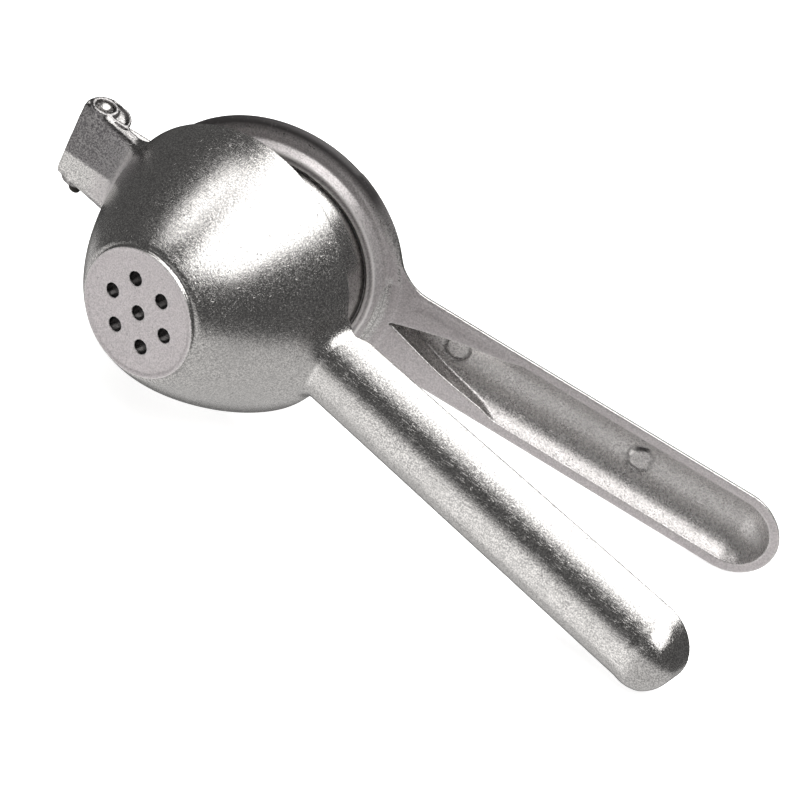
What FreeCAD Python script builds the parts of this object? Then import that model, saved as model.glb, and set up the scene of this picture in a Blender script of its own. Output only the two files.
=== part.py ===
import FreeCAD, Part
import os
import math
import Sketcher
from FreeCAD import Vector, Placement, Rotation

# Hand citrus squeezer, cast aluminium: three separate pieces.
#   bowl_arm     round drain bowl + hinge lug with two ears + half-round handle
#   presser_arm  flange, dome and hinge tongue + shallow channel handle
#   hinge_pin    steel pin pressed into the ears of the bowl arm
# Casting frame of both arms (arms closed): x along the handles towards their
# tips, y along the hinge pin, z along the bowl axis towards the drain face,
# z = 0 on the parting plane between the two handles. Every arm then gets the
# row placement (squeezer lying on its side), and the presser arm is first
# swung open about the pin.

doc = FreeCAD.newDocument("citrus_squeezer")
sheet = doc.addObject("Spreadsheet::Sheet", "Dim")

CELLS = [
    # bowl
    ("rim_radius", 38.7), ("rim_level", 1.5), ("wall", 3.0),
    ("belly_radius", 28.7), ("belly_level", 24.0),
    ("shoulder_radius", 17.6), ("shoulder_level", 37.3),
    ("upper_arc", 62.0), ("lower_arc", 85.0),
    ("disc_radius", 17.3), ("disc_level", 38.3), ("disc_lip", 1.0),
    ("disc_sink", 0.3), ("disc_thickness", 3.2),
    ("floor_radius", 14.4),
    ("inner_belly_radius", 26.2), ("inner_belly_level", 22.3),
    ("inner_upper_arc", 59.0), ("inner_lower_arc", 82.0),
    ("drain_radius", 1.9), ("drain_circle", 9.1),
    # hinge
    ("hinge_reach", 52.2), ("hinge_level", 0.7), ("pin_radius", 1.75),
    ("pin_clearance", 0.05), ("pin_top", 12.9), ("pin_bottom", 14.9),
    ("lug_half_width", 12.4), ("lug_slot_half", 8.0), ("lug_end", 57.2),
    ("lug_back", 5.2), ("web_under", 2.3), ("ear_end", 43.0),
    ("eye_radius", 3.1), ("eye_relief", 3.45), ("tongue_half", 7.7),
    ("tongue_thickness", 4.0),
    ("boss_radius", 3.1), ("boss_height", 0.35),
    # bowl handle
    ("bowl_handle_half", 11.3), ("bowl_handle_side", 2.7),
    ("bowl_handle_tip", 155.6), ("bowl_handle_wall", 2.5),
    ("bowl_handle_plane", 0.3),
    ("bowl_run_start", 43.5), ("bowl_run_full", 64.0),
    # presser
    ("presser_offset", 1.0), ("flange_radius", 38.9), ("flange_level", 1.0),
    ("flange_edge", 2.6), ("seat_radius", 35.2), ("seat_level", 1.15),
    ("ledge_radius", 31.6), ("ledge_level", 4.2),
    ("dome_base_radius", 28.6), ("dome_height", 27.0), ("dome_wall", 3.0),
    ("dome_flat", 2.5),
    ("dome_inner_base", 26.4), ("dome_inner_level", 2.6),
    ("groove_depth", 0.5), ("groove_width", 0.6),
    # presser handle
    ("plate_plane", 0.3), ("plate_thickness", 2.7),
    ("presser_handle_half", 12.8), ("presser_handle_tip", 153.6),
    ("back_half", 11.0), ("back_depth", 8.7),
    ("channel_half", 10.1), ("channel_depth", 6.1),
    ("run_start", 38.8), ("run_knee", 56.5), ("run_knee_half", 6.0),
    ("run_full", 74.0), ("neck_fillet", 7.0),
    # posture
    ("open_angle", 15.9),
    ("row_yaw", 0.0), ("row_pitch", 10.945), ("row_roll", -0.33),
    ("row_shift_x", -47.232), ("row_shift_y", -11.665), ("row_shift_z", 38.691),
]


class Q:
    """A length that knows its value and its spreadsheet expression."""

    def __init__(self, v, e):
        self.v, self.e = float(v), e

    @staticmethod
    def of(o):
        return o if isinstance(o, Q) else Q(o, repr(float(o)))

    def __add__(self, o):
        o = Q.of(o)
        return Q(self.v + o.v, "(%s + %s)" % (self.e, o.e))

    __radd__ = __add__

    def __sub__(self, o):
        o = Q.of(o)
        return Q(self.v - o.v, "(%s - %s)" % (self.e, o.e))

    def __rsub__(self, o):
        return Q.of(o) - self

    def __mul__(self, o):
        o = Q.of(o)
        return Q(self.v * o.v, "(%s * %s)" % (self.e, o.e))

    __rmul__ = __mul__

    def __truediv__(self, o):
        o = Q.of(o)
        return Q(self.v / o.v, "(%s / %s)" % (self.e, o.e))

    def __neg__(self):
        return Q(-self.v, "(-1 * %s)" % self.e)


def sq(a):
    return a * a


def root(a):
    return Q(math.sqrt(a.v), "sqrt(%s)" % a.e)


D = {}
for i, (alias, value) in enumerate(CELLS, start=1):
    sheet.set("A%d" % i, alias)
    sheet.set("B%d" % i, repr(value))
    sheet.setAlias("B%d" % i, alias)
    D[alias] = Q(value, "Dim." + alias)
doc.recompute()


# ------------------------------------------------------------------ helpers
def new_body(name):
    b = doc.addObject("PartDesign::Body", name)
    doc.recompute()
    return b


def plane(b, role):
    for f in b.Origin.OriginFeatures:
        if f.Role == role:
            return f
    raise RuntimeError(role)


def new_sketch(b, name, role, off=None, off_expr=None):
    s = b.newObject("Sketcher::SketchObject", name)
    s.AttachmentSupport = [(plane(b, role), "")]
    s.MapMode = "FlatFace"
    if off is not None:
        s.AttachmentOffset = Placement(off, Rotation())
    for k, e in (off_expr or {}).items():
        s.setExpression("AttachmentOffset.Base." + k, e)
    return s


def pin_point(s, g, pos, x, y):
    """Fix a sketch point at (x, y), both bound to the sheet."""
    x, y = Q.of(x), Q.of(y)
    if abs(x.v) < 1e-9:
        s.addConstraint(Sketcher.Constraint("PointOnObject", g, pos, -2))
    else:
        c = s.addConstraint(Sketcher.Constraint("DistanceX", -1, 1, g, pos, x.v))
        s.setExpression("Constraints[%d]" % c, x.e)
    if abs(y.v) < 1e-9:
        s.addConstraint(Sketcher.Constraint("PointOnObject", g, pos, -1))
    else:
        c = s.addConstraint(Sketcher.Constraint("DistanceY", -1, 1, g, pos, y.v))
        s.setExpression("Constraints[%d]" % c, y.e)


def arc_centre(p, q, r, side):
    """Centre of the arc of radius r from p to q; side +1 bulges left of p->q."""
    mx, my = (p[0] + q[0]) / 2, (p[1] + q[1]) / 2
    dx, dy = q[0] - p[0], q[1] - p[1]
    d = math.hypot(dx, dy)
    a = math.sqrt(max(r * r - d * d / 4, 0.0))
    return mx + side * dy / d * a, my - side * dx / d * a


def outline(s, pts, bows=None):
    """Closed outline. pts: list of (x, y); bows: {edge index: (radius, side)}."""
    bows = bows or {}
    n = len(pts)
    P = [(Q.of(x), Q.of(y)) for x, y in pts]
    ids = []
    for k in range(n):
        a, b = P[k], P[(k + 1) % n]
        va, vb = (a[0].v, a[1].v), (b[0].v, b[1].v)
        if k in bows:
            r, side = Q.of(bows[k][0]), bows[k][1]
            cx, cy = arc_centre(va, vb, r.v, side)
            first, last = (va, vb) if side < 0 else (vb, va)
            a0 = math.atan2(first[1] - cy, first[0] - cx)
            a1 = math.atan2(last[1] - cy, last[0] - cx)
            if a1 <= a0:
                a1 += 2 * math.pi
            g = s.addGeometry(Part.ArcOfCircle(Part.Circle(Vector(cx, cy, 0), Vector(0, 0, 1), r.v), a0, a1), False)
            ids.append((g, 1, 2) if side < 0 else (g, 2, 1))
            c = s.addConstraint(Sketcher.Constraint("Radius", g, r.v))
            s.setExpression("Constraints[%d]" % c, r.e)
        else:
            g = s.addGeometry(Part.LineSegment(Vector(va[0], va[1], 0), Vector(vb[0], vb[1], 0)), False)
            ids.append((g, 1, 2))
    for k in range(n):
        g, st, en = ids[k]
        g2, st2, en2 = ids[(k + 1) % n]
        s.addConstraint(Sketcher.Constraint("Coincident", g, en, g2, st2))
    for k in range(n):
        g, st, en = ids[k]
        pin_point(s, g, st, P[k][0], P[k][1])
    return ids


def ring(s, x, y, r):
    r = Q.of(r)
    x, y = Q.of(x), Q.of(y)
    g = s.addGeometry(Part.Circle(Vector(x.v, y.v, 0), Vector(0, 0, 1), r.v), False)
    pin_point(s, g, 3, x, y)
    c = s.addConstraint(Sketcher.Constraint("Radius", g, r.v))
    s.setExpression("Constraints[%d]" % c, r.e)
    return g


def feature(b, kind, name, s, **kw):
    f = b.newObject(kind, name)
    f.Profile = s
    for k, v in kw.items():
        if isinstance(v, Q):
            setattr(f, k, v.v)
            f.setExpression(k, v.e)
        else:
            setattr(f, k, v)
    doc.recompute()
    return f


def volume(b):
    return b.Shape.Volume


def must_shrink(b, before, name):
    if not volume(b) < before - 0.5:
        raise RuntimeError("%s removed nothing" % name)


def must_grow(b, before, name):
    if not volume(b) > before + 0.5:
        raise RuntimeError("%s added nothing" % name)


# ------------------------------------------------------------------ bowl arm
bowl = new_body("bowl_arm_body")
HX, HZ = -D["hinge_reach"], D["hinge_level"]

# outer form of the bowl with its flat raised drain disc
s = new_sketch(bowl, "bowl_outer", "XZ_Plane")
outline(s, [
    (0.0, D["rim_level"]),
    (D["rim_radius"], D["rim_level"]),
    (D["belly_radius"], D["belly_level"]),
    (D["shoulder_radius"], D["shoulder_level"]),
    (D["disc_radius"], D["disc_level"]),
    (D["disc_radius"] - D["disc_lip"], D["disc_level"]),
    (D["disc_radius"] - D["disc_lip"] - D["disc_sink"], D["disc_level"] - D["disc_sink"]),
    (0.0, D["disc_level"] - D["disc_sink"]),
], {1: (D["upper_arc"], -1), 2: (D["lower_arc"], -1)})
feature(bowl, "PartDesign::Revolution", "bowl_form", s, ReferenceAxis=(s, ["V_Axis"]), Angle=360.0)

# handle: straight sides, then a half-round back with a ball end
tipc = D["bowl_handle_tip"] - D["bowl_handle_half"]
z1 = D["bowl_handle_plane"]
z2 = D["bowl_handle_plane"] + D["bowl_handle_side"]
s = new_sketch(bowl, "handle_plan", "XY_Plane", Vector(0, 0, z1.v), {"z": z1.e})
hw = D["bowl_handle_half"]
outline(s, [(30.0, -hw), (tipc, -hw), (tipc, hw), (30.0, hw)], {1: (hw + 0.0001, -1)})
v0 = volume(bowl)
feature(bowl, "PartDesign::Pad", "handle_sides", s, Length=D["bowl_handle_side"])
must_grow(bowl, v0, "handle_sides")
s = new_sketch(bowl, "handle_back_half", "XY_Plane", Vector(0, 0, z2.v), {"z": z2.e})
outline(s, [(30.0, 0.0), (D["bowl_handle_tip"], 0.0), (tipc, hw), (30.0, hw)], {1: (hw, -1)})
v0 = volume(bowl)
f = feature(bowl, "PartDesign::Revolution", "handle_back", s, ReferenceAxis=(s, ["H_Axis"]), Angle=180.0)
if bowl.Shape.BoundBox.ZMin < -hw.v / 2:
    f.Reversed = True
    doc.recompute()
must_grow(bowl, v0, "handle_back")

# hinge lug: flat back, D-shaped ears round the pin
s = new_sketch(bowl, "lug_side", "XZ_Plane")
outline(s, [
    (-D["lug_end"], D["lug_back"]),
    (-D["lug_end"], HZ - 0.6),
    (HX - 1.2, HZ - 3.75),
    (HX + 3.0, HZ - 3.25),
    (-(D["ear_end"] + 1.6), HZ - 1.1),
    (-D["ear_end"], D["web_under"]),
    (-36.4, D["web_under"]),
    (-36.4, D["lug_back"]),
], {1: (4.2, -1), 3: (30.0, -1)})
v0 = volume(bowl)
feature(bowl, "PartDesign::Pad", "lug", s, Length=D["lug_half_width"] * 2, Midplane=True)
must_grow(bowl, v0, "lug")

# inside of the bowl
s = new_sketch(bowl, "bowl_inner", "XZ_Plane")
outline(s, [
    (0.0, -6.0),
    (D["rim_radius"] - D["wall"], -6.0),
    (D["rim_radius"] - D["wall"], D["rim_level"]),
    (D["inner_belly_radius"], D["inner_belly_level"]),
    (D["floor_radius"], D["disc_level"] - D["disc_thickness"]),
    (0.0, D["disc_level"] - D["disc_thickness"]),
], {2: (D["inner_upper_arc"], -1), 3: (D["inner_lower_arc"], -1)})
v0 = volume(bowl)
feature(bowl, "PartDesign::Groove", "bowl_hollow", s, ReferenceAxis=(s, ["V_Axis"]), Angle=360.0)
must_shrink(bowl, v0, "bowl_hollow")

# slot between the ears, with a round relief for the presser's eye
s = new_sketch(bowl, "lug_slot", "XZ_Plane")
outline(s, [(-60.0, -6.0), (-39.3, -6.0), (-39.3, D["web_under"]), (-60.0, D["web_under"])])
v0 = volume(bowl)
feature(bowl, "PartDesign::Pocket", "ear_gap", s, Length=D["lug_slot_half"] * 2, Midplane=True)
must_shrink(bowl, v0, "ear_gap")
s = new_sketch(bowl, "eye_relief_round", "XZ_Plane")
ring(s, HX, HZ, D["eye_relief"])
v0 = volume(bowl)
feature(bowl, "PartDesign::Pocket", "eye_relief_cut", s, Length=D["lug_slot_half"] * 2, Midplane=True)
must_shrink(bowl, v0, "eye_relief_cut")

# ring boss on the upper ear, then the pin bore
s = new_sketch(bowl, "boss_ring", "XZ_Plane", Vector(0, 0, -D["lug_half_width"].v),
               {"z": "-1 * " + D["lug_half_width"].e})
ring(s, HX, HZ, D["boss_radius"])
v0 = volume(bowl)
f = feature(bowl, "PartDesign::Pad", "boss", s, Length=D["boss_height"])
if not volume(bowl) > v0 + 0.5:
    f.Reversed = True
    doc.recompute()
must_grow(bowl, v0, "boss")
s = new_sketch(bowl, "pin_bore_round", "XZ_Plane")
ring(s, HX, HZ, D["pin_radius"])
v0 = volume(bowl)
feature(bowl, "PartDesign::Pocket", "pin_bore", s, Length=40.0, Midplane=True)
must_shrink(bowl, v0, "pin_bore")

# drain holes: one in the middle, six on a circle
s = new_sketch(bowl, "drain_middle", "XY_Plane")
ring(s, 0.0, 0.0, D["drain_radius"])
v0 = volume(bowl)
f = feature(bowl, "PartDesign::Pocket", "drain_centre", s, Length=60.0, Reversed=True)
must_shrink(bowl, v0, "drain_centre")
s = new_sketch(bowl, "drain_outer", "XY_Plane")
ring(s, D["drain_circle"], 0.0, D["drain_radius"])
v0 = volume(bowl)
f = feature(bowl, "PartDesign::Pocket", "drain_one", s, Length=60.0, Reversed=True)
must_shrink(bowl, v0, "drain_one")
v0 = volume(bowl)
pat = bowl.newObject("PartDesign::PolarPattern", "drain_ring")
pat.Originals = [f]
pat.Axis = (plane(bowl, "Z_Axis"), [""])
pat.Angle = 360.0
pat.Occurrences = 6
bowl.Tip = pat
doc.recompute()
must_shrink(bowl, v0, "drain_ring")

# channel of the bowl handle: plan outline with a pointed run-out, cut by a round form
w = D["bowl_handle_wall"]
chw = hw - w
cut_plan = new_body("bowl_channel_plan")
s = new_sketch(cut_plan, "bowl_channel_outline", "XY_Plane", Vector(0, 0, -5), {})
outline(s, [(D["bowl_run_start"], 0.0), (D["bowl_run_full"], -chw), (tipc, -chw), (tipc, chw),
            (D["bowl_run_full"], chw)], {2: (chw + 0.0001, -1)})
feature(cut_plan, "PartDesign::Pad", "bowl_channel_prism", s, Length=40.0)
cut_round = new_body("bowl_channel_round")
s = new_sketch(cut_round, "bowl_channel_half", "XY_Plane", Vector(0, 0, z2.v), {"z": z2.e})
outline(s, [(40.0, 0.0), (tipc + chw, 0.0), (tipc, chw), (40.0, chw)], {1: (chw, -1)})
feature(cut_round, "PartDesign::Revolution", "bowl_channel_bar", s, ReferenceAxis=(s, ["H_Axis"]), Angle=360.0)
s = new_sketch(cut_round, "bowl_channel_sides", "XY_Plane", Vector(0, 0, -5), {})
outline(s, [(40.0, -chw), (tipc, -chw), (tipc, chw), (40.0, chw)], {1: (chw + 0.0001, -1)})
feature(cut_round, "PartDesign::Pad", "bowl_channel_walls", s, Length=z2 + 5.0)
bowl_cut = doc.addObject("Part::MultiCommon", "bowl_channel")
bowl_cut.Shapes = [cut_plan, cut_round]
doc.recompute()
bowl_arm = doc.addObject("Part::Cut", "bowl_arm")
bowl_arm.Base, bowl_arm.Tool = bowl, bowl_cut
bowl_arm.Label = "bowl_arm"
doc.recompute()

# --------------------------------------------------------------- presser arm
press = new_body("presser_arm_body")
pz = -D["plate_plane"]
pz2 = -(D["plate_plane"] + D["plate_thickness"])
ph = D["presser_handle_half"]
bh = D["back_half"]
sag = D["back_depth"] + pz2
back_r = (sq(bh) + sq(sag)) / (sag * 2)
back_c = back_r - D["back_depth"]
ptip = D["presser_handle_tip"] - ph

# shallow round back of the handle: a bar of large radius cut off flat
s = new_sketch(press, "back_bar_half", "XY_Plane", Vector(0, 0, back_c.v), {"z": back_c.e})
outline(s, [(26.0, 0.0), (ptip + back_r, 0.0), (ptip, back_r), (26.0, back_r)], {1: (back_r, -1)})
feature(press, "PartDesign::Revolution", "back_bar", s, ReferenceAxis=(s, ["H_Axis"]), Angle=360.0)
s = new_sketch(press, "back_trim_plan", "XY_Plane", Vector(0, 0, pz2.v), {"z": pz2.e})
outline(s, [(0.0, -40.0), (200.0, -40.0), (200.0, 40.0), (0.0, 40.0)])
v0 = volume(press)
feature(press, "PartDesign::Pocket", "back_trim", s, Length=60.0, Reversed=True)
must_shrink(press, v0, "back_trim")

# flat plate: neck with concave corners, handle rim with a round end
nf = D["neck_fillet"]
fr = D["flange_radius"]
po = D["presser_offset"]
fx = po + root(sq(fr + nf) - sq(ph + nf))
tx = po + (fx - po) * fr / (fr + nf)
ty = (ph + nf) * fr / (fr + nf)
s = new_sketch(press, "plate_plan", "XY_Plane", Vector(0, 0, pz2.v), {"z": pz2.e})
outline(s, [(27.0, -ty), (tx, -ty), (fx, -ph), (ptip, -ph), (ptip, ph), (fx, ph), (tx, ty), (27.0, ty)],
        {1: (nf, 1), 3: (ph + 0.0001, -1), 5: (nf, 1)})
v0 = volume(press)
feature(press, "PartDesign::Pad", "plate", s, Length=D["plate_thickness"])
must_grow(press, v0, "plate")

# tongue to the hinge, with a round eye
s = new_sketch(press, "tongue_side", "XZ_Plane")
outline(s, [(HX, pz - D["tongue_thickness"] + 1.5), (HX + 6.0, pz - D["tongue_thickness"]),
            (-34.0, pz - D["tongue_thickness"]), (-34.0, pz), (HX + 3.6, pz), (HX, HZ)])
v0 = volume(press)
feature(press, "PartDesign::Pad", "tongue", s, Length=D["tongue_half"] * 2, Midplane=True)
must_grow(press, v0, "tongue")
s = new_sketch(press, "eye_round", "XZ_Plane")
ring(s, HX, HZ, D["eye_radius"])
v0 = volume(press)
feature(press, "PartDesign::Pad", "eye", s, Length=D["tongue_half"] * 2, Midplane=True)
must_grow(press, v0, "eye")

# flange ring, stepped base and dome, hollow from behind
g1 = D["dome_base_radius"] + D["groove_width"]
rise = D["dome_height"] - D["ledge_level"]
dome_r = (sq(D["dome_base_radius"]) + sq(rise)) / (rise * 2)
rise_in = D["dome_height"] - D["dome_wall"] - D["dome_inner_level"]
dome_in_r = (sq(D["dome_inner_base"]) + sq(rise_in)) / (rise_in * 2)
s = new_sketch(press, "dome_section", "XZ_Plane", Vector(po.v, 0, 0), {"x": po.e})
outline(s, [
    (0.0, D["dome_height"]),
    (D["dome_flat"], D["dome_height"]),
    (D["dome_base_radius"], D["ledge_level"]),
    (D["dome_base_radius"], D["ledge_level"] - D["groove_depth"]),
    (g1, D["ledge_level"] - D["groove_depth"]),
    (g1, D["ledge_level"]),
    (D["ledge_radius"], D["ledge_level"]),
    (D["seat_radius"], D["seat_level"]),
    (D["flange_radius"] - 1.4, D["flange_level"]),
    (D["flange_radius"], D["flange_level"] - 1.4),
    (D["flange_radius"], D["flange_level"] - D["flange_edge"] - 0.4),
    (D["flange_radius"] - 0.8, D["flange_level"] - D["flange_edge"] - 1.4),
    (33.6, D["flange_level"] - D["flange_edge"] - 1.4),
    (29.4, 1.0),
    (D["dome_inner_base"], D["dome_inner_level"]),
    (D["dome_flat"], D["dome_height"] - D["dome_wall"]),
    (0.0, D["dome_height"] - D["dome_wall"]),
], {1: (dome_r, 1), 6: (9.0, 1), 8: (1.6, 1), 14: (dome_in_r, -1)})
v0 = volume(press)
feature(press, "PartDesign::Revolution", "dome_form", s, ReferenceAxis=(s, ["V_Axis"]), Angle=360.0)
must_grow(press, v0, "dome_form")

# open the back of the dome where tongue and handle ran into it
s = new_sketch(press, "dome_back", "XZ_Plane", Vector(po.v, 0, 0), {"x": po.e})
outline(s, [(0.0, -12.0), (33.0, -12.0), (33.0, -3.2), (29.2, 0.9), (26.2, 2.5), (0.0, 20.0)])
v0 = volume(press)
feature(press, "PartDesign::Groove", "dome_back_clear", s, ReferenceAxis=(s, ["V_Axis"]), Angle=360.0)
must_shrink(press, v0, "dome_back_clear")

# bore of the eye, running fit on the pin
s = new_sketch(press, "eye_bore_round", "XZ_Plane")
ring(s, HX, HZ, D["pin_radius"] + D["pin_clearance"])
v0 = volume(press)
feature(press, "PartDesign::Pocket", "eye_bore", s, Length=40.0, Midplane=True)
must_shrink(press, v0, "eye_bore")

# channel of the presser handle
ch = D["channel_half"]
csag = D["channel_depth"] + pz
ch_r = (sq(ch) + sq(csag)) / (csag * 2)
ch_c = ch_r - D["channel_depth"]
pcut_plan = new_body("presser_channel_plan")
s = new_sketch(pcut_plan, "presser_channel_outline", "XY_Plane", Vector(0, 0, -20), {})
outline(s, [(D["run_start"], 0.0), (D["run_knee"], -D["run_knee_half"]), (D["run_full"], -ch), (ptip, -ch),
            (ptip, ch), (D["run_full"], ch), (D["run_knee"], D["run_knee_half"])],
        {3: (ch + 0.0001, -1)})
feature(pcut_plan, "PartDesign::Pad", "presser_channel_prism", s, Length=40.0)
pcut_round = new_body("presser_channel_round")
s = new_sketch(pcut_round, "presser_channel_half", "XY_Plane", Vector(0, 0, ch_c.v), {"z": ch_c.e})
outline(s, [(34.0, 0.0), (ptip + ch_r, 0.0), (ptip, ch_r), (34.0, ch_r)], {1: (ch_r, -1)})
feature(pcut_round, "PartDesign::Revolution", "presser_channel_bar", s, ReferenceAxis=(s, ["H_Axis"]), Angle=360.0)
press_cut = doc.addObject("Part::MultiCommon", "presser_channel")
press_cut.Shapes = [pcut_plan, pcut_round]
doc.recompute()
presser_arm = doc.addObject("Part::Cut", "presser_arm")
presser_arm.Base, presser_arm.Tool = press, press_cut
presser_arm.Label = "presser_arm"
doc.recompute()

# ----------------------------------------------------------------- hinge pin
pin = new_body("hinge_pin")
s = new_sketch(pin, "pin_half", "YZ_Plane")
pr = D["pin_radius"]
outline(s, [(-D["pin_bottom"], 0.0), (D["pin_top"], 0.0), (D["pin_top"], pr - 0.4), (D["pin_top"] - 0.4, pr),
            (-(D["pin_bottom"] - 0.5), pr), (-D["pin_bottom"], pr - 0.5)])
feature(pin, "PartDesign::Revolution", "pin_form", s, ReferenceAxis=(s, ["H_Axis"]), Angle=360.0)
pin.Label = "hinge_pin"

# ------------------------------------------------------------------- posture
# z (bowl axis) becomes -y of the row, y (pin) becomes the upper side
lay = Placement(Vector(0, 0, 0), Rotation(Vector(1, 0, 0), 90))
turn = Placement(Vector(D["row_shift_x"].v, D["row_shift_y"].v, D["row_shift_z"].v),
                 Rotation(D["row_yaw"].v, D["row_pitch"].v, D["row_roll"].v))
row = turn.multiply(lay)
hinge = Vector(HX.v, 0, HZ.v)
swing = Placement(Vector(0, 0, 0), Rotation(Vector(0, 1, 0), D["open_angle"].v), hinge)
bowl_arm.Placement = row
presser_arm.Placement = row.multiply(swing)
pin.Placement = row.multiply(Placement(hinge, Rotation()))
doc.recompute()

# -------------------------------------------------------------------- output
bad = [o.Name for o in doc.Objects if any(t in str(o.State) for t in ("Invalid", "Error"))]
if bad:
    raise RuntimeError("failed objects: %s" % bad)
os.makedirs("parts", exist_ok=True)
for node in (bowl_arm, presser_arm, pin):
    shape = node.Shape
    if shape.isNull() or not shape.isValid():
        raise RuntimeError("bad shape: %s" % node.Label)
    bb = shape.BoundBox
    print("%-12s solids %d volume %.0f mm3 box %.1f..%.1f %.1f..%.1f %.1f..%.1f" % (
        node.Label, len(shape.Solids), shape.Volume, bb.XMin, bb.XMax, bb.YMin, bb.YMax, bb.ZMin, bb.ZMax))
    shape.exportStep("parts/%s.step" % node.Label)
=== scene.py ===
import math

import bpy
import numpy as np
from mathutils import Matrix, Vector


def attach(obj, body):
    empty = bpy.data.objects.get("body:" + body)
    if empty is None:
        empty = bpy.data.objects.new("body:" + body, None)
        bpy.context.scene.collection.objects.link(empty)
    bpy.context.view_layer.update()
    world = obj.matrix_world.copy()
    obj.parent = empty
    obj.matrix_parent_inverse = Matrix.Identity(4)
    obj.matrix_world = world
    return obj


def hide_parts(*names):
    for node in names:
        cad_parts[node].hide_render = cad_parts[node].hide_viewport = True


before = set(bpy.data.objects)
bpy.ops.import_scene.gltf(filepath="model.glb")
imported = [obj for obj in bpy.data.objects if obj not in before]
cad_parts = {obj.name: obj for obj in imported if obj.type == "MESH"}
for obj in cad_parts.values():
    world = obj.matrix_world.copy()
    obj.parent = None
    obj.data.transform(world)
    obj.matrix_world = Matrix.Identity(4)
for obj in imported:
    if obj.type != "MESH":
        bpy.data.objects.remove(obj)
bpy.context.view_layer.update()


# ---------------------------------------------------------------- distance fields, millimetres
# Tool frame: U along the cup's handle, W along the hinge pin, N from the rim to the drain disc.
F = np.float32
HINGE_U, HINGE_N = -52.2, 0.7
OFFSET = 1.5
OPEN = math.radians(15.9)
SHUT_C, SHUT_S = math.cos(math.radians(0.1)), math.sin(math.radians(0.1))


def smin(a, b, k):
    t = np.clip(0.5 + 0.5 * (b - a) / k, 0.0, 1.0)
    return b + (a - b) * t - k * t * (1.0 - t)


def smax(a, b, k):
    return -smin(-a, -b, k)


def fillet(a, b, r):
    """Union with a round fillet of radius r."""
    u = np.maximum(r - a, 0.0)
    v = np.maximum(r - b, 0.0)
    return np.maximum(np.minimum(a, b), r) - np.sqrt(u * u + v * v)


def edge(a, b, r):
    """Intersection with a rounded edge of radius r."""
    return -fillet(-a, -b, r)


def polygon(x, y, pts):
    """Signed distance to a closed polygon."""
    best = np.full(x.shape, 1e9, x.dtype)
    inside = np.zeros(x.shape, bool)
    n = len(pts)
    for i in range(n):
        ax, ay = pts[i]
        bx, by = pts[(i + 1) % n]
        ex, ey = bx - ax, by - ay
        t = np.clip(((x - ax) * ex + (y - ay) * ey) / (ex * ex + ey * ey + 1e-12), 0.0, 1.0)
        dx, dy = x - ax - t * ex, y - ay - t * ey
        best = np.minimum(best, dx * dx + dy * dy)
        if ay != by:
            crosses = ((ay > y) != (by > y)) & (x < (bx - ax) * (y - ay) / (by - ay) + ax)
            inside ^= crosses
    best = np.sqrt(best)
    return np.where(inside, -best, best)


def arc_points(p, q, r, side, n=14):
    """Points of the arc from p to q of radius r, without q. side +1 bulges left of p-q."""
    mx, my = (p[0] + q[0]) / 2, (p[1] + q[1]) / 2
    dx, dy = q[0] - p[0], q[1] - p[1]
    d = math.hypot(dx, dy)
    h = math.sqrt(max(r * r - d * d / 4, 0.0))
    cx, cy = mx + side * dy / d * h, my - side * dx / d * h
    a0 = math.atan2(p[1] - cy, p[0] - cx)
    a1 = math.atan2(q[1] - cy, q[0] - cx)
    da = (a1 - a0 + math.pi) % (2 * math.pi) - math.pi
    return [(cx + r * math.cos(a0 + da * i / n), cy + r * math.sin(a0 + da * i / n)) for i in range(n)]


# ---------------------------------------------------------------- cup and its handle
CUP = (-1.1615, -0.205, -2.735, -10.676, 32.1091)


def cup_radius(n):
    t = (np.clip(n, -3.0, 38.0) - 18.0) / 20.0
    v = np.zeros_like(t)
    s = np.zeros_like(t)
    for c in CUP:
        s = s * t + v
        v = v * t + c
    return v, s / 20.0


def cup_outside(r, n):
    v, s = cup_radius(n)
    return (r - v) / np.sqrt(1.0 + s * s)


BACK, HALF, LUG_END = 4.6, 12.4, -56.6
DRAIN = [(0.0, 0.0)] + [(9.06 * math.cos(math.radians(60 * i)), 9.06 * math.sin(math.radians(60 * i))) for i in range(6)]


def lug_field(U, W, N):
    """Two round ears and the plate that joins them at the back."""
    aw = np.abs(W)
    lobe = np.hypot(U + 50.2, N - 2.0) - 6.7
    bar = np.maximum(1.0 - N, np.maximum(U + 28.0, -52.0 - U))
    ear = fillet(lobe, bar, 1.6)
    ear = edge(ear, LUG_END - U, 1.2)
    ridge = -2.6 + (U + 46.0) * 0.14
    back = (N - BACK - 0.35 + 0.06 * np.abs(W - ridge)) * 0.998
    ear = np.maximum(ear, back)
    d = edge(ear, aw - HALF, 0.45)
    # broad worn corner between the back and the outer faces of the ears
    d = edge(d, (aw - HALF + N - BACK + 1.3) * 0.7071, 0.8)
    slot = np.maximum(np.maximum(aw - 8.0, N - 2.3), U + 37.6)
    d = np.maximum(d, -slot)
    # pin boss, groove round the pin, sunk crescent, tail bar and slit on both ears
    rp = np.hypot(U - HINGE_U, N - HINGE_N)
    out = HALF - aw
    s = (U + 48.4) * 0.2747 + (N - 2.3) * 0.9615
    sunk = np.maximum(np.maximum(lobe + 0.95, 3.75 - rp), np.maximum(s + 0.6, -53.6 - U))
    d = edge(d, -np.maximum(sunk, out - 1.0), 0.22)
    slit = np.maximum(np.maximum(np.abs(s - 1.05) - 0.38, -48.9 - U), np.maximum(U + 43.2, N - 2.9))
    d = edge(d, -np.maximum(slit, out - 0.8), 0.15)
    d = edge(d, -np.maximum(np.abs(rp - 2.3) - 0.36, out - 0.9), 0.15)
    boss = np.maximum(np.maximum(np.abs(rp - 3.2) - 0.5, aw - HALF - 0.3), 10.5 - aw)
    d = smin(d, boss, 0.35)
    return np.maximum(d, -(rp - 1.76))


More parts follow.
